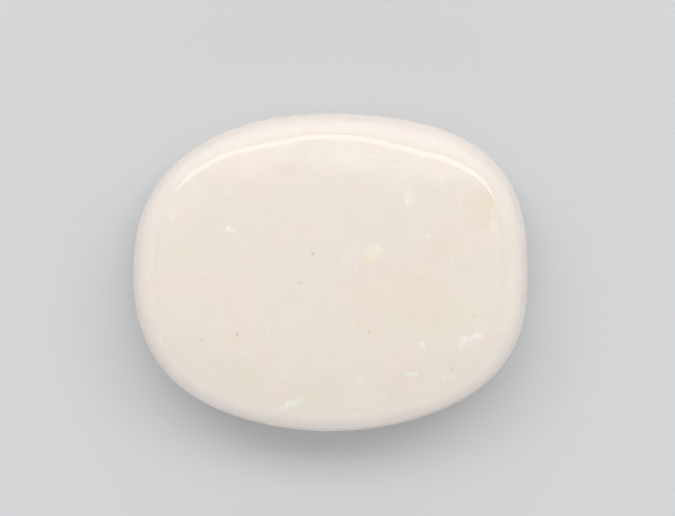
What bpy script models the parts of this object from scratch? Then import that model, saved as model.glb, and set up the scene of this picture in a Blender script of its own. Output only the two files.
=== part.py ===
"""A white opal cabochon: one polished stone with an oval cushion outline, a low dome and a flat base.

Metres, +Z up. The origin is the middle of the flat base. The stone lies on its base with the
domed face up, its length along X and its width along Y.
"""

import math

import bmesh
import bpy

# The girdle is the widest level of the stone, where its outline is measured.
LENGTH = 0.0150
WIDTH = 0.0120
GIRDLE_HEIGHT = 0.0019

# The shoulder is the soft edge between the bulging side and the domed face.
SHOULDER_HEIGHT = 0.0039
SHOULDER_INSET = 0.00070
DOME_SLOPE = math.tan(math.radians(9.0))
DOME_RISE = 0.00050

# Under the girdle the side curves back in to the flat base.
BASE_INSET = 0.00105

GIRDLE_ROUND = 0.0032
SHOULDER_ROUND = 0.00060
BASE_ROUND = 0.00100

# Exponent of the oval at each corner: 2 is a plain ellipse, and more is squarer.
SQUARENESS = {
    ("right", "back"): 2.77,
    ("left", "back"): 2.21,
    ("right", "front"): 2.22,
    ("left", "front"): 2.31,
}
# Away from the girdle the corners soften towards the face's own, nearly plain, ellipse.
FACE_SQUARENESS = 2.08
CORNER_FADE = 0.00040
# Cutting by hand left the outline faintly six-sided, and the two ends are sides of it.
SIDES = 6
SIDE_DEPTH = 0.00006

SEGMENTS = 84
ROUND_STEPS = 5
DOME_RINGS = 9

OPAL_COLOUR = (0.84, 0.74, 0.64, 1.0)
OPAL_ROUGHNESS = 0.15


def clear_scene():
    for obj in list(bpy.data.objects):
        bpy.data.objects.remove(obj)


def corner_squareness(angle):
    """The girdle's exponent at this angle, blended between the four corners."""
    right = (1 + math.cos(angle)) / 2
    back = (1 + math.sin(angle)) / 2
    at_back = right * SQUARENESS["right", "back"] + (1 - right) * SQUARENESS["left", "back"]
    at_front = right * SQUARENESS["right", "front"] + (1 - right) * SQUARENESS["left", "front"]
    return back * at_back + (1 - back) * at_front


def outline_radius(angle, inset):
    """Distance from the stone's axis to the line that lies this far inside the girdle."""
    face_share = math.tanh(inset / CORNER_FADE)
    girdle_squareness = corner_squareness(angle)
    exponent = girdle_squareness + face_share * (FACE_SQUARENESS - girdle_squareness)
    along = abs(math.cos(angle)) / (LENGTH / 2 - inset)
    across = abs(math.sin(angle)) / (WIDTH / 2 - inset)
    oval = (along**exponent + across**exponent) ** (-1 / exponent)
    return oval + SIDE_DEPTH * (1 - math.cos(SIDES * angle)) / 2


def rounded_corner(before, corner, after, radius):
    """Points along the arc that rounds one corner of the section. Each point is (inset, height)."""
    start_x, start_z = before[0] - corner[0], before[1] - corner[1]
    end_x, end_z = after[0] - corner[0], after[1] - corner[1]
    start_angle = math.atan2(start_z, start_x)
    end_angle = math.atan2(end_z, end_x)
    opening = (end_angle - start_angle + math.pi) % (2 * math.pi) - math.pi
    middle = start_angle + opening / 2
    to_centre = radius / math.sin(abs(opening) / 2)
    centre_x = corner[0] + to_centre * math.cos(middle)
    centre_z = corner[1] + to_centre * math.sin(middle)
    turn = math.copysign(math.pi - abs(opening), opening)
    points = []
    for step in range(ROUND_STEPS + 1):
        spoke = middle + math.pi + turn * (0.5 - step / ROUND_STEPS)
        points.append((centre_x + radius * math.cos(spoke), centre_z + radius * math.sin(spoke)))
    return points


def side_section():
    """(inset, height) points up the stone's side, from the flat base to the edge of the dome."""
    base = (BASE_INSET, 0.0)
    girdle = (0.0, GIRDLE_HEIGHT)
    shoulder = (SHOULDER_INSET, SHOULDER_HEIGHT)
    under_base = (BASE_INSET + LENGTH, 0.0)
    over_dome = (SHOULDER_INSET + LENGTH, SHOULDER_HEIGHT + LENGTH * DOME_SLOPE)
    section = (
        rounded_corner(under_base, base, girdle, BASE_ROUND)
        + rounded_corner(base, girdle, shoulder, GIRDLE_ROUND)
        + rounded_corner(girdle, shoulder, over_dome, SHOULDER_ROUND)
    )
    widest = min(inset for inset, height in section)
    return [(inset - widest, height) for inset, height in section]


def side_point(angle, inset, height):
    radius = outline_radius(angle, inset)
    return (radius * math.cos(angle), radius * math.sin(angle), height)


def dome_point(angle, share, inset, height):
    """A point on the dome, share being 0 at its top and 1 at its edge."""
    edge_radius = outline_radius(angle, inset)
    radius = share * edge_radius
    steeper_edge = (DOME_SLOPE * edge_radius / 2 - DOME_RISE) * share**2
    rise = (DOME_RISE + steeper_edge) * (1 - share**2)
    return (radius * math.cos(angle), radius * math.sin(angle), height + rise)


def make_stone_mesh():
    """A UV sphere whose rings of latitude become the stone's base rim, side and dome."""
    section = side_section()
    dome_inset, dome_height = section[-1]
    rings = len(section) + DOME_RINGS - 1

    bm = bmesh.new()
    bmesh.ops.create_uvsphere(bm, u_segments=SEGMENTS, v_segments=rings + 1, radius=1.0)
    for vert in bm.verts:
        latitude = math.asin(max(-1.0, min(1.0, vert.co.z)))
        ring = round((latitude / math.pi + 0.5) * (rings + 1))
        angle = math.atan2(vert.co.y, vert.co.x)
        if ring == 0:
            vert.co = (0.0, 0.0, 0.0)
        elif ring <= len(section):
            vert.co = side_point(angle, *section[ring - 1])
        else:
            share = 1 - (ring - len(section)) / DOME_RINGS
            vert.co = dome_point(angle, share, dome_inset, dome_height)
    mesh = bpy.data.meshes.new("opal")
    bm.to_mesh(mesh)
    bm.free()
    mesh.shade_smooth()
    mesh.set_sharp_from_angle(angle=math.radians(40))
    return mesh


def make_opal_material():
    material = bpy.data.materials.new("white_opal")
    material.use_nodes = True
    shader = material.node_tree.nodes["Principled BSDF"]
    shader.inputs["Base Color"].default_value = OPAL_COLOUR
    shader.inputs["Roughness"].default_value = OPAL_ROUGHNESS
    shader.inputs["Metallic"].default_value = 0.0
    return material


def main():
    clear_scene()
    collection = bpy.data.collections.new("opal_cabochon")
    bpy.context.scene.collection.children.link(collection)
    stone = bpy.data.objects.new("opal", make_stone_mesh())
    stone.data.materials.append(make_opal_material())
    collection.objects.link(stone)


main()
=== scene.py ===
import math
import bpy
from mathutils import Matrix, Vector


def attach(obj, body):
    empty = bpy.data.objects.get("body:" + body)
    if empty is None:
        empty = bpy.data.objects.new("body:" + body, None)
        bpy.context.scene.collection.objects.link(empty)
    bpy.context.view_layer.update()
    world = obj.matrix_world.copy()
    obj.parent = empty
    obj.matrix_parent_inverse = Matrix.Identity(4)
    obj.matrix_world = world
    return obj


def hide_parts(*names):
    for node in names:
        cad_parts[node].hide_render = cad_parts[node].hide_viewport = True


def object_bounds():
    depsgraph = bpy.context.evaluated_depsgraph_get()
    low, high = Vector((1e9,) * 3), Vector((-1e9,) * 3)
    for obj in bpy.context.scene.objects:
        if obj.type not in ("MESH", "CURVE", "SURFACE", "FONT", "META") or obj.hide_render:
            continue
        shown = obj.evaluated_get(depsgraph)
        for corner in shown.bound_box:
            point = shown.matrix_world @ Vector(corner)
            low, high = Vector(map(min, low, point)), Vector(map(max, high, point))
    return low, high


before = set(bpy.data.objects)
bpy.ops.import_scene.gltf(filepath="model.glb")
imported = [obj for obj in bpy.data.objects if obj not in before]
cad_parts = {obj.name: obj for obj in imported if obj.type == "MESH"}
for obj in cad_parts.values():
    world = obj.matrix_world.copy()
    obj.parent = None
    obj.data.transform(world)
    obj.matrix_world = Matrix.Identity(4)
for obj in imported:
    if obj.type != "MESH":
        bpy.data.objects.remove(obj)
cadLow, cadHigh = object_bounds()
mm = 0.001
print("frame loaded: the stone is %.1f x %.1f x %.2f mm" % tuple((cadHigh - cadLow) / mm))


# A wire is one socket. Plain arithmetic on wires adds Math nodes to their tree.
class Wire:
    def __init__(self, bench, socket):
        self.bench = bench
        self.socket = socket

    def math(self, operation, *others):
        inputs = dict(enumerate((self, *others)))
        return self.bench.add("ShaderNodeMath", {"operation": operation}, inputs)

    def __add__(self, other):
        return self.math("ADD", other)

    __radd__ = __add__

    def __sub__(self, other):
        return self.math("SUBTRACT", other)

    def __rsub__(self, other):
        return self.bench.add("ShaderNodeMath", {"operation": "SUBTRACT"}, {0: other, 1: self})

    def __mul__(self, other):
        return self.math("MULTIPLY", other)

    __rmul__ = __mul__

    def __truediv__(self, other):
        return self.math("DIVIDE", other)

    def __rtruediv__(self, other):
        return self.bench.add("ShaderNodeMath", {"operation": "DIVIDE"}, {0: other, 1: self})

    def __pow__(self, other):
        return self.math("POWER", other)

    def __gt__(self, other):
        return self.math("GREATER_THAN", other)

    def ease(self, low, high):  # 0 below low, 1 above high, smooth between
        settings = {"interpolation_type": "SMOOTHSTEP"}
        inputs = {"Value": self, "From Min": low, "From Max": high}
        return self.bench.add("ShaderNodeMapRange", settings, inputs)


# A bench holds one node tree, and its add() makes every node that isn't plain arithmetic.
class Bench:
    def __init__(self, tree):
        self.tree = tree

    def add(self, kind, settings=None, inputs=None, output=None):
        node = self.tree.nodes.new(kind)
        for name, value in (settings or {}).items():
            if name == "stops":
                self.setStops(node.color_ramp, value)
            elif name == "items":
                for _ in range(value - len(node.index_switch_items)):
                    node.index_switch_items.new()
            else:
                setattr(node, name, value)
        for key, value in (inputs or {}).items():
            self.feed(self.pick(node.inputs, key), value)
        return Wire(self, self.pick(node.outputs, output))

    def setStops(self, ramp, stops):
        while len(ramp.elements) < len(stops):
            ramp.elements.new(1.0)
        for element, (place, colour) in zip(ramp.elements, stops):
            element.position = place
            element.color = (*colour, 1.0)

    def pick(self, sockets, key):
        if isinstance(key, int):
            return sockets[key]
        return next(s for s in sockets if s.enabled and key in (None, s.name))

    def feed(self, socket, value):
        if isinstance(value, Wire):
            self.tree.links.new(value.socket, socket)
        elif socket.type == "RGBA":
            socket.default_value = (*value[:3], 1.0)
        else:
            socket.default_value = value

    def vector(self, operation, *parts, output=None):
        return self.add("ShaderNodeVectorMath", {"operation": operation}, dict(enumerate(parts)), output)

    def scaled(self, vector, factor):
        return self.add("ShaderNodeVectorMath", {"operation": "SCALE"}, {0: vector, "Scale": factor})

    def xyz(self, x, y, z):
        return self.add("ShaderNodeCombineXYZ", None, {"X": x, "Y": y, "Z": z})

    def split(self, vector):
        parts = self.add("ShaderNodeSeparateXYZ", None, {"Vector": vector}).socket.node.outputs
        return [Wire(self, part) for part in parts]

    def blend(self, factor, first, second):
        inputs = {"Factor": factor, "A": first, "B": second}
        return self.add("ShaderNodeMix", {"data_type": "RGBA"}, inputs)

    def noise(self, vector, scale, detail=2.0, roughness=0.5, output="Fac"):
        inputs = {"Vector": vector, "Scale": scale, "Detail": detail, "Roughness": roughness}
        return self.add("ShaderNodeTexNoise", None, inputs, output)

    def cells(self, vector, scale):  # how far it is to the middle of the nearest cell
        return self.add("ShaderNodeTexVoronoi", None, {"Vector": vector, "Scale": scale}, "Distance")

    def cellTones(self, vector, scale):  # three numbers from 0 to 1, the same all over a cell
        inputs = {"Vector": vector, "Scale": scale}
        return self.split(self.add("ShaderNodeTexVoronoi", None, inputs, "Color"))


# The cut of the stone. Its outline is an oval whose four corners differ, and faintly six-sided.
cut = {
    "Side Depth": 0.06 * mm,
    "Girdle Height": 1.9 * mm,
    "Shoulder Height": 3.9 * mm,
    "Shoulder Inset": 0.55 * mm,
    "Base Inset": 1.05 * mm,
    "Girdle Round": 3.0 * mm,
    "Shoulder Round": 0.90 * mm,
    "Front Girdle Round": 2.6 * mm,  # the front shoulder is worn a little softer than the back one
    "Front Shoulder Round": 1.1 * mm,
    "Front Full": -0.55,  # -1 is the front edge, 1 the back edge: its roundings end between these
    "Front Ends": 0.75,
    "Base Round": 1.0 * mm,
    "Dome Slope": math.tan(math.radians(9.0)),
    "Back Right": 2.77,
    "Back Left": 2.21,
    "Front Right": 2.22,
    "Front Left": 2.31,
    "Face Squareness": 2.30,
    "Face Right Corner": 0.38,  # the face is squarer here, at its right back corner
    "Right Dip": 0.20 * mm,  # the shoulder was ground back a little in two places
    "Right Dip At": math.radians(58.0),
    "Right Dip Width": math.radians(16.0),
    "Left Dip": 0.10 * mm,
    "Left Dip At": math.radians(113.0),
    "Left Dip Width": math.radians(11.0),
    "Corner Fade": 0.40 * mm,
    "Wave Depth": 0.020 * mm,  # polishing by hand leaves the surface gently uneven
    "Waves Per Mm": 0.42,
    "Dimple Depth": 0.006 * mm,
    "Dimples Per Mm": 0.9,
}
meshCounts = {"Rows Along": 150, "Rows Across": 150, "Rows Up": 60, "Round Steps": 24}


def tangentReach(turn, radius):  # how far from its corner a rounding starts
    return radius * math.tan(turn / 2)


# Sizes that follow from the cut: where the roundings of the section begin, end and stand out.
def finishCut():
    size = cadHigh - cadLow
    underLean = math.atan2(cut["Base Inset"], cut["Girdle Height"])
    overLean = math.atan2(cut["Shoulder Inset"], cut["Shoulder Height"] - cut["Girdle Height"])
    domeLean = math.atan(cut["Dome Slope"])
    shoulderTurn = math.pi / 2 - overLean - domeLean
    standsOut = math.cos((overLean - underLean) / 2) / math.cos((overLean + underLean) / 2) - 1
    cut["Length"] = size.x
    cut["Width"] = size.y - 2 * cut["Side Depth"]
    cut["Top"] = size.z
    cut["Base Edge"] = cut["Base Inset"] + tangentReach(math.pi / 2 - underLean, cut["Base Round"])
    for side in ("", "Front "):
        reach = tangentReach(shoulderTurn, cut[side + "Shoulder Round"]) * math.cos(domeLean)
        cut[side + "Dome Edge"] = cut["Shoulder Inset"] + reach
        cut[side + "Widest"] = cut[side + "Girdle Round"] * standsOut


# The section: flat base, girdle, shoulder and the edge of the dome, with its corners rounded.
def onSection(bench, size, side, factor):
    edge = size[side + "Dome Edge"]
    edgeHeight = size["Shoulder Height"] + (edge - size["Shoulder Inset"]) * size["Dome Slope"]
    corners = [
        bench.xyz(size["Base Edge"], 0.0, 0.0),
        bench.xyz(size["Base Inset"], 0.0, 0.0),
        bench.xyz(0.0, 0.0, size["Girdle Height"]),
        bench.xyz(size["Shoulder Inset"], 0.0, size["Shoulder Height"]),
        bench.xyz(edge, 0.0, edgeHeight),
    ]
    rounds = [0.0, size["Base Round"], size[side + "Girdle Round"], size[side + "Shoulder Round"], 0.0]
    index = bench.add("GeometryNodeInputIndex")
    placeOf = {"Index": index, **{str(i): corner for i, corner in enumerate(corners)}}
    roundOf = {"Index": index, **{str(i): radius for i, radius in enumerate(rounds)}}
    place = bench.add("GeometryNodeIndexSwitch", {"data_type": "VECTOR", "items": len(corners)}, placeOf)
    radius = bench.add("GeometryNodeIndexSwitch", {"data_type": "FLOAT", "items": len(rounds)}, roundOf)
    line = bench.add("GeometryNodeMeshLine", None, {"Count": len(corners)})
    line = bench.add("GeometryNodeSetPosition", None, {"Geometry": line, "Position": place})
    line = bench.add("GeometryNodeMeshToCurve", None, {"Mesh": line})
    rounding = {"Curve": line, "Count": size["Round Steps"], "Radius": radius}
    section = bench.add("GeometryNodeFilletCurve", {"mode": "POLY"}, rounding)
    settings = {"mode": "FACTOR", "use_all_curves": False, "data_type": "FLOAT"}
    sampling = {"Curves": section, "Factor": factor}
    point = bench.add("GeometryNodeSampleCurve", settings, sampling, "Position")
    inset, _, height = bench.split(point)
    return inset - size[side + "Widest"], height


def buildStoneTree():
    tree = bpy.data.node_groups.new("opalCut", "GeometryNodeTree")
    kinds = {**dict.fromkeys(cut, "NodeSocketFloat"), **dict.fromkeys(meshCounts, "NodeSocketInt")}
    for name, kind in kinds.items():
        tree.interface.new_socket(name, in_out="INPUT", socket_type=kind)
    tree.interface.new_socket("Material", in_out="INPUT", socket_type="NodeSocketMaterial")
    tree.interface.new_socket("Stone", in_out="OUTPUT", socket_type="NodeSocketGeometry")
    bench = Bench(tree)
    asked = tree.nodes.new("NodeGroupInput").outputs
    size = {name: Wire(bench, asked[name]) for name in kinds}

    # a block of face rows: its walls become the side, and its two ends the dome and the base
    rows = {"Vertices X": size["Rows Along"], "Vertices Y": size["Rows Across"]}
    rows["Vertices Z"] = size["Rows Up"]
    block = bench.add("GeometryNodeMeshCube", None, {"Size": (2.0, 2.0, 2.0), **rows})
    x, y, z = bench.split(bench.add("GeometryNodeInputPosition"))
    angle = y.math("ARCTAN2", x)
    cosine, sine = angle.math("COSINE"), angle.math("SINE")
    share = x.math("ABSOLUTE").math("MAXIMUM", y.math("ABSOLUTE"))
    upSection = (z + 1) / 2
    backInset, backHeight = onSection(bench, size, "", upSection)
    frontInset, frontHeight = onSection(bench, size, "Front ", upSection)
    front = 1 - sine.ease(size["Front Full"], size["Front Ends"])
    inset = backInset + (frontInset - backInset) * front
    height = backHeight + (frontHeight - backHeight) * front

    # the outline at this inset
    right, back = (cosine + 1) / 2, (sine + 1) / 2
    atBack = right * size["Back Right"] + (1 - right) * size["Back Left"]
    atFront = right * size["Front Right"] + (1 - right) * size["Front Left"]
    squareness = back * atBack + (1 - back) * atFront
    faceShare = (inset / size["Corner Fade"]).math("TANH")
    faceSquareness = size["Face Squareness"] + right * back * size["Face Right Corner"]
    squareness = squareness + faceShare * (faceSquareness - squareness)
    along = cosine.math("ABSOLUTE") / (size["Length"] / 2 - inset)
    across = sine.math("ABSOLUTE") / (size["Width"] / 2 - inset)
    oval = (along ** squareness + across ** squareness) ** (-1 / squareness)
    edgeRadius = oval + size["Side Depth"] * (1 - (angle * 6).math("COSINE")) / 2
    upperShare = faceShare * height.ease(size["Girdle Height"], size["Shoulder Height"])
    for dip in ("Right Dip", "Left Dip"):
        off = (angle - size[dip + " At"]) / size[dip + " Width"]
        edgeRadius = edgeRadius - size[dip] * upperShare * (0 - off * off).math("EXPONENT")

    # the dome, whose edge meets the shoulder at one slope all round
    squared = share * share
    domeRise = size["Top"] - height
    steeper = (size["Dome Slope"] * edgeRadius / 2 - domeRise) * squared
    onDome = z > 0.999
    rise = (domeRise + steeper) * (1 - squared) * onDome
    radial = share * edgeRadius
    shaped = bench.xyz(radial * cosine, radial * sine, height + rise)
    stone = bench.add("GeometryNodeSetPosition", None, {"Geometry": block, "Position": shaped})
    stone = bench.add("GeometryNodeSetShadeSmooth", None, {"Geometry": stone})

    # unevenness from polishing goes inwards only, and the flat base keeps its level
    position = bench.scaled(bench.add("GeometryNodeInputPosition"), 1 / mm)
    aboveBase = bench.split(position)[2].ease(0.1, 0.8)
    wave = bench.noise(position, size["Waves Per Mm"], 1.0)
    dimple = 1 - bench.cells(position, size["Dimples Per Mm"]).ease(0.0, 0.45)
    depth = (wave * size["Wave Depth"] + dimple * size["Dimple Depth"]) * aboveBase
    inwards = bench.scaled(bench.add("GeometryNodeInputNormal"), 0 - depth)
    stone = bench.add("GeometryNodeSetPosition", None, {"Geometry": stone, "Offset": inwards})
    stone = bench.add("GeometryNodeRealizeInstances", None, {"Geometry": stone})
    wanted = Wire(bench, asked["Material"])
    stone = bench.add("GeometryNodeSetMaterial", None, {"Geometry": stone, "Material": wanted})
    tree.links.new(stone.socket, tree.nodes.new("NodeGroupOutput").inputs["Stone"])
    return tree


def makeStone(material):
    tree = buildStoneTree()
    stone = bpy.data.objects.new("opalStone", bpy.data.meshes.new("opalBlank"))
    bpy.context.scene.collection.objects.link(stone)
    modifier = stone.modifiers.new("opalCut", "NODES")
    modifier.node_group = tree
    values = {**cut, **meshCounts, "Material": material}
    for socket in tree.interface.items_tree:
        if socket.in_out == "INPUT":
            modifier[socket.identifier] = values[socket.name]
    bpy.context.view_layer.update()
    ready = stone.evaluated_get(bpy.context.evaluated_depsgraph_get())
    mesh = bpy.data.meshes.new_from_object(ready)
    mesh.name = "opalStone"
    stone.modifiers.clear()
    stone.data = mesh
    print("stone cut: %d faces" % len(mesh.polygons))
    return stone


tints = {
    "honey": (0.80, 0.705, 0.560),
    "amber": (0.790, 0.645, 0.400),
    "rust": (0.50, 0.40, 0.28),
    "rose": (0.86, 0.70, 0.66),
    "moss": (0.74, 0.75, 0.60),
    "cream": (0.875, 0.828, 0.785),
    "chalk": (0.92, 0.88, 0.79),
    "frost": (0.865, 0.865, 0.830),
    "blossom": (0.93, 0.87, 0.91),
    "straw": (0.863, 0.825, 0.675),
    "lime": (0.815, 0.775, 0.57),
    "smoke": (0.62, 0.54, 0.44),
}
# Marks on the face, in mm: where the middle is, length and width, turn in degrees, tint, strength.
cloudsAndGlow = [
    ((3.0, -0.7), (6.4, 4.6), -12, "honey", 0.34),
    ((4.5, 1.1), (2.4, 1.7), -20, "amber", 0.12),
    ((4.5, -1.2), (2.4, 1.2), 10, "amber", 0.10),
    ((1.2, -0.9), (1.7, 1.2), 30, "amber", 0.08),
    ((1.43, -1.95), (1.3, 1.0), 0, "amber", 0.15),
    ((-3.5, -2.5), (1.6, 1.0), 8, "amber", 0.13),
    ((5.75, 2.55), (2.4, 1.6), 55, "amber", 0.24),
    ((6.15, 2.66), (1.0, 0.75), 50, "amber", 0.30),
    # The cream clouds along the back edge are partly the stone's paler milk and partly a painted
    # highlight: the whiter glow just below the lamps' bright line on the shoulder.
    ((0.9, 4.5), (5.6, 1.8), -4, "cream", 0.42),
    ((3.6, 4.1), (3.6, 1.1), -24, "cream", 0.30),
    ((-3.0, 4.15), (3.6, 1.2), 22, "cream", 0.18),
    ((-5.3, 3.0), (2.6, 1.4), 48, "cream", 0.20),
    ((-1.9, 4.85), (1.3, 0.7), 15, "cream", 0.30),
    ((-2.2, 1.3), (2.2, 1.5), 0, "rose", 0.16),
    ((0.5, 2.5), (1.5, 0.8), 0, "rose", 0.22),
    ((-3.9, -0.3), (2.4, 1.4), 20, "rose", 0.10),
    ((-1.6, 2.7), (1.5, 1.0), 0, "moss", 0.16),
    ((-3.3, -3.5), (2.6, 1.2), -30, "moss", 0.16),
    ((1.9, 2.0), (2.2, 1.1), 0, "moss", 0.18),
    ((5.2, -3.0), (2.6, 1.2), 45, "moss", 0.14),
    ((0.2, -4.0), (5.5, 1.4), 0, "moss", 0.14),
]
flecks = [
    ((1.64, 0.88), (0.78, 0.94), -25, "straw", 0.95),
    ((1.48, 0.66), (0.66, 0.50), 0, "lime", 0.70),
    ((0.56, 0.56), (0.40, 0.22), 0, "straw", 0.75),
    ((0.96, 0.46), (0.30, 0.20), 0, "straw", 0.60),
    ((2.98, 2.98), (0.50, 0.76), 6, "frost", 0.90),
    ((3.77, 1.55), (0.34, 0.28), 0, "blossom", 0.55),
    ((-3.76, 1.76), (0.56, 0.22), -22, "chalk", 0.80),
    ((-4.30, 1.92), (0.34, 0.16), 0, "cream", 0.60),
    ((6.18, 1.86), (0.42, 0.84), 10, "straw", 0.55),
    ((4.36, 1.02), (0.26, 0.80), 0, "amber", 0.16),
    ((5.56, -2.22), (0.50, 0.34), 20, "blossom", 0.62),
    ((5.20, -2.38), (0.95, 0.36), 16, "frost", 0.82),
    ((4.93, -2.72), (0.34, 0.40), 0, "frost", 0.50),
    ((3.48, -2.66), (0.42, 0.52), 20, "chalk", 0.62),
    ((3.04, -3.76), (0.70, 0.28), 0, "frost", 0.78),
    ((1.02, -3.94), (1.00, 0.56), 15, "frost", 0.45),
    ((-1.75, -5.04), (0.44, 0.30), 10, "blossom", 0.60),
    ((-1.40, -4.84), (1.05, 0.42), 30, "frost", 0.70),
    ((-1.78, -3.80), (0.40, 0.30), 0, "blossom", 0.45),
    ((-5.94, 2.35), (0.60, 0.70), 0, "straw", 0.45),
    ((-6.50, -2.44), (0.36, 0.66), 20, "frost", 0.50),
    ((4.34, -3.90), (0.26, 0.36), 0, "straw", 0.75),
    ((4.60, -4.20), (0.36, 0.32), 0, "lime", 0.55),
    ((5.16, -4.14), (0.30, 0.28), 0, "straw", 0.50),
    ((1.96, -4.50), (0.50, 0.32), 20, "straw", 0.40),
    ((1.70, 4.62), (0.70, 0.26), 30, "cream", 0.55),
]
# Pits are all the colour of rust, so they name no tint.
pits = [
    ((-1.80, 2.02), (0.14, 0.14), 0, 0.50),
    ((-0.66, 0.86), (0.17, 0.17), 0, 0.95),
    ((-1.12, -0.24), (0.28, 0.11), -8, 0.65),
    ((-3.52, -2.20), (0.15, 0.19), 0, 0.75),
    ((-4.86, -2.40), (0.24, 0.22), 0, 0.45),
    ((-6.08, -2.78), (0.13, 0.13), 0, 0.35),
    ((-6.60, 0.40), (0.16, 0.12), 0, 0.30),
    ((1.46, -2.08), (0.16, 0.19), 0, 0.50),
    ((1.12, -1.80), (0.34, 0.16), 20, 0.22),
    ((5.42, -1.54), (0.15, 0.13), 0, 0.50),
    ((4.60, -3.56), (0.19, 0.14), 0, 0.60),
    ((0.02, -1.42), (0.14, 0.14), 0, 0.20),
    ((5.05, 2.62), (0.22, 0.16), 0, 0.22),
    ((3.86, 0.78), (0.30, 0.22), 40, 0.20),
    ((-5.65, 1.30), (0.10, 0.34), 0, 0.14),
    ((2.55, -1.98), (0.20, 0.14), 30, 0.20),
    ((7.30, -0.87), (0.16, 0.50), 0, 0.60),
]
markLevel = 4.4  # the marks lie at about this height in mm, and reach this far above and below it
markDepth = 2.6


def markMask(bench, place, at, size, turn, core):  # 1 in the middle of an oval mark, 0 outside it
    inputs = {
        "Vector": place,
        "Location": (*at, markLevel),
        "Rotation": (0.0, 0.0, math.radians(turn)),
        "Scale": (size[0] / 2, size[1] / 2, markDepth),
    }
    inMark = bench.add("ShaderNodeMapping", {"vector_type": "TEXTURE"}, inputs)
    return 1 - bench.vector("LENGTH", inMark, output="Value").ease(core, 1.0)


# The same place, pushed about so that marks lose their oval edge.
def wandering(bench, place, perMm, reach):
    push = bench.vector("SUBTRACT", bench.noise(place, perMm, 3.0, output="Color"), (0.5, 0.5, 0.5))
    return bench.vector("ADD", place, bench.scaled(push, 2 * reach))


# 1 in the middle of some of the cells, chosen by one of their tones, and a hue number for each cell.
def someCells(bench, place, kind, by=0):
    tones = bench.cellTones(place, kind["perMm"])
    middle = 1 - bench.cells(place, kind["perMm"]).ease(*kind["edge"])
    return middle * tones[by].ease(*kind["chosen"]), tones[1]


# The milky body: broad cloudy patches on the face, the cream ones along the back edge partly a painted
# glow, a side paled by painted sheen with flat honey layers, and a fine grain.
body = {
    "milk": (0.812, 0.744, 0.666),
    "mottlesPerMm": 0.55,
    "mottle": 1.1,
    "cloudDriftPerMm": 0.8,
    "cloudDrift": 0.8,
    "cloudCore": 0.1,
    # paler than the face's milk: a painted reflection of the pale surroundings on the steep side
    "sideMilkWithSheen": (0.832, 0.782, 0.732),
    "sideWithSheenHeights": (3.60, 4.04),  # in mm: the side's colour, with its painted sheen, is full below them, the face's above
    "sideWithSheenShare": 0.85,
    "blushesPerMm": 0.7,
    "blush": 0.5,
    "layersPerMm": (0.22, 0.22, 1.1),
    "layerEdge": (0.48, 0.66),
    "layerHeights": (2.4, 3.5),
    "layers": 0.55,
    "grainsPerMm": 5.0,
    "grain": 0.075,
    "murkPerMm": 1.6,
    "murk": 0.045,
}


def bodyColour(bench, place):
    colour = body["milk"]
    mottle = bench.noise(place, body["mottlesPerMm"]) - 0.5
    for tint, share in (("rose", mottle), ("moss", 0 - mottle)):
        colour = bench.blend((share * body["mottle"]).math("MAXIMUM", 0.0), colour, tints[tint])
    drifting = wandering(bench, place, body["cloudDriftPerMm"], body["cloudDrift"])
    for at, size, turn, tint, strength in cloudsAndGlow:
        mask = markMask(bench, drifting, at, size, turn, body["cloudCore"])
        colour = bench.blend(mask * strength, colour, tints[tint])

    height = bench.split(place)[2]
    blush = bench.noise(place, body["blushesPerMm"], 3.0) * body["blush"]
    # The side's paler milk is painted sheen. Its blush and honey layers are the stone's own colour.
    sideColourWithSheen = bench.blend(blush, body["sideMilkWithSheen"], tints["rose"])
    layers = bench.noise(bench.vector("MULTIPLY", place, body["layersPerMm"]), 1.0, 3.0)
    layers = layers.ease(*body["layerEdge"]) * (1 - height.ease(*body["layerHeights"])) * body["layers"]
    sideColourWithSheen = bench.blend(layers, sideColourWithSheen, tints["honey"])
    side = 1 - height.ease(*body["sideWithSheenHeights"])
    colour = bench.blend(side * body["sideWithSheenShare"], colour, sideColourWithSheen)

    grain = bench.noise(place, body["grainsPerMm"], 4.0, roughness=0.65) - 0.5
    murk = bench.noise(place, body["murkPerMm"]) - 0.5
    return bench.scaled(colour, 1 + grain * body["grain"] + murk * body["murk"])


# Play of colour: flecks made of small bright grains, a thin scatter of pinpoints everywhere, and a
# few loose patches on the side and the base. Glow is what shows between the bright grains.
fire = {
    "grains": {"perMm": 5.5, "edge": (0.30, 0.62), "chosen": (0.15, 0.55)},
    "fleckEdgesPerMm": 3.2,
    "fleckEdge": 0.16,
    "fleckCore": 0.5,
    "fleckGlow": 0.45,
    "fleckSparkle": 0.75,
    "patches": {"perMm": 0.55, "edge": (0.08, 0.26), "chosen": (0.35, 0.6)},
    "patchHeights": (3.2, 3.8),
    "patchGlow": 0.30,
    "patchSparkle": 0.70,
    "patchHues": [(0.0, "lime"), (0.35, "straw"), (0.6, "blossom"), (1.0, "frost")],
    "points": {"perMm": 2.6, "edge": (0.06, 0.20), "chosen": (0.55, 0.95)},
    "pointStrength": 0.35,
    "pointHues": [(0.0, "frost"), (0.35, "blossom"), (0.6, "straw"), (1.0, "cream")],
}


def hueFrom(bench, hues, number):  # the tint that a number from 0 to 1 stands for
    stops = [(place, tints[tint]) for place, tint in hues]
    return bench.add("ShaderNodeValToRGB", {"stops": stops}, {"Fac": number}, "Color")


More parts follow.
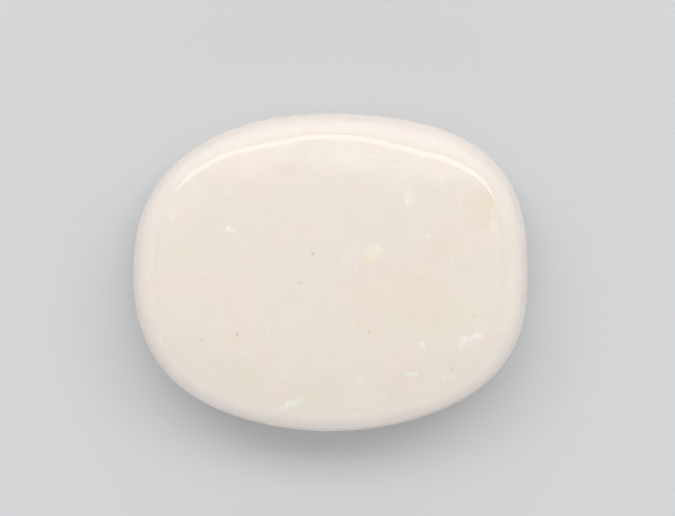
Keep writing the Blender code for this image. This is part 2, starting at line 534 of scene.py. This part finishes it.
def addFire(bench, place, colour):
    sparkle, _ = someCells(bench, place, fire["grains"])
    trembling = wandering(bench, place, fire["fleckEdgesPerMm"], fire["fleckEdge"])
    lit = fire["fleckGlow"] + sparkle * fire["fleckSparkle"]
    for at, size, turn, tint, strength in flecks:
        mask = markMask(bench, trembling, at, size, turn, fire["fleckCore"])
        colour = bench.blend(mask * lit * strength, colour, tints[tint])

    patches, hue = someCells(bench, trembling, fire["patches"])
    below = 1 - bench.split(place)[2].ease(*fire["patchHeights"])
    lit = fire["patchGlow"] + sparkle * fire["patchSparkle"]
    colour = bench.blend(patches * below * lit, colour, hueFrom(bench, fire["patchHues"], hue))

    points, hue = someCells(bench, place, fire["points"])
    return bench.blend(points * fire["pointStrength"], colour, hueFrom(bench, fire["pointHues"], hue))


# What cutting and polishing left: pits, pinholes, and fine scratches near the back edge.
wear = {
    "pitEdgesPerMm": 9.0,
    "pitEdge": 0.03,
    "pitCore": 0.3,
    "pitTint": 0.52,
    "pinholes": {"perMm": 1.7, "edge": (0.03, 0.10), "chosen": (0.6, 0.8)},
    "pinholeTint": 0.18,
}
scratches = {
    "at": (2.2, 4.35),
    "size": (2.6, 1.0),
    "turn": -12,
    "core": 0.2,
    "driftPerMm": 1.2,
    "drift": 0.4,
    "lineTurn": (0.0, 0.0, 0.5),  # in radians
    "lineStretch": (0.35, 3.0, 1.0),
    "linesPerMm": 3.2,
    "lineEdge": (0.52, 0.62),
    "strength": 0.5,
    "tint": 0.4,
}


def pitMask(bench, place):
    ragged = wandering(bench, place, wear["pitEdgesPerMm"], wear["pitEdge"])
    pitted = 0.0
    for at, size, turn, strength in pits:
        pitted = markMask(bench, ragged, at, size, turn, wear["pitCore"]) * strength + pitted
    return pitted


def scratchMask(bench, place):
    drifting = wandering(bench, place, scratches["driftPerMm"], scratches["drift"])
    worn = markMask(bench, drifting, *(scratches[key] for key in ("at", "size", "turn", "core")))
    inputs = {"Vector": place, "Rotation": scratches["lineTurn"], "Scale": scratches["lineStretch"]}
    lines = bench.noise(bench.add("ShaderNodeMapping", None, inputs), scratches["linesPerMm"], 3.0)
    return lines.ease(*scratches["lineEdge"]) * worn * scratches["strength"]


# The polish, and how far light sinks into the stone. Relief heights are shares of its depth.
polish = {
    "roughness": 0.09,
    "smearsPerMm": 0.9,
    "smear": 0.06,
    "scratchRoughness": 0.25,
    "pitRoughness": 0.3,
    "reliefDepth": 0.0025 * mm,
    "ripplesPerMm": 7.0,
    "ripple": 0.35,
    "scratchRelief": 0.7,
    "pitRelief": 3.0,
    "pinholeRelief": 0.8,
    "ior": 1.5,
    "scatterWeight": 0.55,
    "scatterDepth": 2.0 * mm,
    "scatterRadius": (1.0, 0.80, 0.62),
}


def makeOpalMaterial():
    material = bpy.data.materials.new("whiteOpal")
    material.use_nodes = True
    tree = material.node_tree
    shader = tree.nodes["Principled BSDF"].inputs
    bench = Bench(tree)
    place = bench.scaled(bench.add("ShaderNodeTexCoord", None, None, "Object"), 1 / mm)
    pitted = pitMask(bench, place)
    pinholed, _ = someCells(bench, place, wear["pinholes"], by=1)
    scratched = scratchMask(bench, place)

    colour = addFire(bench, place, bodyColour(bench, place))
    colour = bench.blend(pinholed * wear["pinholeTint"], colour, tints["smoke"])
    colour = bench.blend(pitted.math("MINIMUM", 1.0) * wear["pitTint"], colour, tints["rust"])
    colour = bench.blend(scratched * scratches["tint"], colour, tints["smoke"])
    bench.feed(shader["Base Color"], colour)

    smear = bench.noise(place, polish["smearsPerMm"], 3.0) - 0.5
    roughness = polish["roughness"] + smear * polish["smear"]
    roughness = roughness + scratched * polish["scratchRoughness"] + pitted * polish["pitRoughness"]
    bench.feed(shader["Roughness"], roughness)

    relief = bench.noise(place, polish["ripplesPerMm"], 3.0) * polish["ripple"]
    relief = relief - scratched * polish["scratchRelief"] - pitted * polish["pitRelief"]
    relief = relief - pinholed * polish["pinholeRelief"]
    inputs = {"Strength": 1.0, "Distance": polish["reliefDepth"], "Height": relief}
    bench.feed(shader["Normal"], bench.add("ShaderNodeBump", None, inputs))
    shader["IOR"].default_value = polish["ior"]
    shader["Subsurface Weight"].default_value = polish["scatterWeight"]
    shader["Subsurface Scale"].default_value = polish["scatterDepth"]
    shader["Subsurface Radius"].default_value = polish["scatterRadius"]
    print("opal material made: %d nodes" % len(tree.nodes))
    return material


stage = {
    "floorRadius": 3.0,
    "floorSides": 96,
    "floorColour": (0.64, 0.65, 0.66),
    "floorRoughness": 0.9,
    "floorSpecular": 0.15,
    "airColour": (0.99, 1.0, 1.02),
    "airStrength": 0.285,
}


def makeStage():
    bpy.ops.mesh.primitive_circle_add(
        vertices=stage["floorSides"], radius=stage["floorRadius"], fill_type="NGON"
    )
    floor = bpy.context.object
    floor.name = "floor"
    material = bpy.data.materials.new("paleFloor")
    material.use_nodes = True
    shader = material.node_tree.nodes["Principled BSDF"].inputs
    shader["Base Color"].default_value = (*stage["floorColour"], 1.0)
    shader["Roughness"].default_value = stage["floorRoughness"]
    shader["Specular IOR Level"].default_value = stage["floorSpecular"]
    floor.data.materials.append(material)

    world = bpy.data.worlds.new("softAir")
    world.use_nodes = True
    air = world.node_tree.nodes["Background"].inputs
    air["Color"].default_value = (*stage["airColour"], 1.0)
    air["Strength"].default_value = stage["airStrength"]
    bpy.context.scene.world = world
    print("stage made")


# Three bars lean over the stone's back edge, and one lies low in front of it.
# Lean is in degrees from upright, and bearing is where the lamp leans to: 90 is over the back edge.
# A size is the lamp's level side, then its leaning one. Brightness is what the lamp itself looks like.
lampReach = 1.5  # every lamp's distance from the stone
lamps = {
    "roundLamp": {"lean": 0, "bearing": 90, "shape": "DISK", "size": (1.1, 1.1), "brightness": 0.55},
    "highBar": {"lean": 18, "bearing": 86, "shape": "RECTANGLE", "size": (1.1, 0.30), "brightness": 0.9},
    "mainBar": {"lean": 30, "bearing": 87, "shape": "RECTANGLE", "size": (2.35, 0.54), "brightness": 3.2},
    "lowBar": {"lean": 70, "bearing": 90, "shape": "RECTANGLE", "size": (4.2, 1.3), "brightness": 0.80},
    "frontBar": {"lean": 70, "bearing": 270, "shape": "RECTANGLE", "size": (4.2, 1.3), "brightness": 0.81},
    "rightLamp": {"lean": 65, "bearing": 0, "shape": "DISK", "size": (1.6, 1.6), "brightness": 0.50},
    "leftLamp": {"lean": 65, "bearing": 180, "shape": "DISK", "size": (1.6, 1.6), "brightness": 0.50},
}


def hangLamp(name, lamp):
    level, leaning = lamp["size"]
    filled = math.pi / 4 if lamp["shape"] == "DISK" else 1.0
    light = bpy.data.lights.new(name, "AREA")
    light.shape = lamp["shape"]
    light.size, light.size_y = leaning, level
    light.energy = lamp["brightness"] * math.pi * filled * level * leaning
    hung = bpy.data.objects.new(name, light)
    bpy.context.scene.collection.objects.link(hung)
    lean, bearing = math.radians(lamp["lean"]), math.radians(lamp["bearing"])
    sideways = math.sin(lean)
    outward = Vector((sideways * math.cos(bearing), sideways * math.sin(bearing), math.cos(lean)))
    hung.location = outward * lampReach
    hung.rotation_euler = (0.0, lean, bearing)
    hung.visible_camera = False


# The camera looks down on the face, a few degrees past upright, so that more of the back edge shows.
shot = {
    "distance": 0.30,
    "tilt": 4.0,
    "fieldWidth": 25.67 * mm,
    "aim": (0.27 * mm, 0.52 * mm),
}


def makeCamera():
    tilt = math.radians(shot["tilt"])
    level = Vector((0.0, 0.0, cut["Girdle Height"]))
    lookUp = Vector((0.0, math.cos(tilt), -math.sin(tilt)))
    across, upward = shot["aim"]
    target = level + Vector((across, 0.0, 0.0)) + lookUp * upward
    back = Vector((0.0, math.sin(tilt), math.cos(tilt)))
    lens = bpy.data.cameras.new("lookDown")
    lens.sensor_width = 36.0
    lens.lens = lens.sensor_width * shot["distance"] / shot["fieldWidth"]
    lens.clip_start, lens.clip_end = 0.01, 5.0
    camera = bpy.data.objects.new("lookDown", lens)
    bpy.context.scene.collection.objects.link(camera)
    camera.location = target + back * shot["distance"]
    camera.rotation_euler = (-tilt, 0.0, 0.0)
    bpy.context.scene.camera = camera
    bpy.context.scene.view_settings.view_transform = "Standard"
    print("camera set")


finishCut()
opalMaterial = makeOpalMaterial()
opalStone = makeStone(opalMaterial)
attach(opalStone, "root")
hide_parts("opal")
makeStage()
for name, lamp in lamps.items():
    hangLamp(name, lamp)
print("lights hung")
makeCamera()
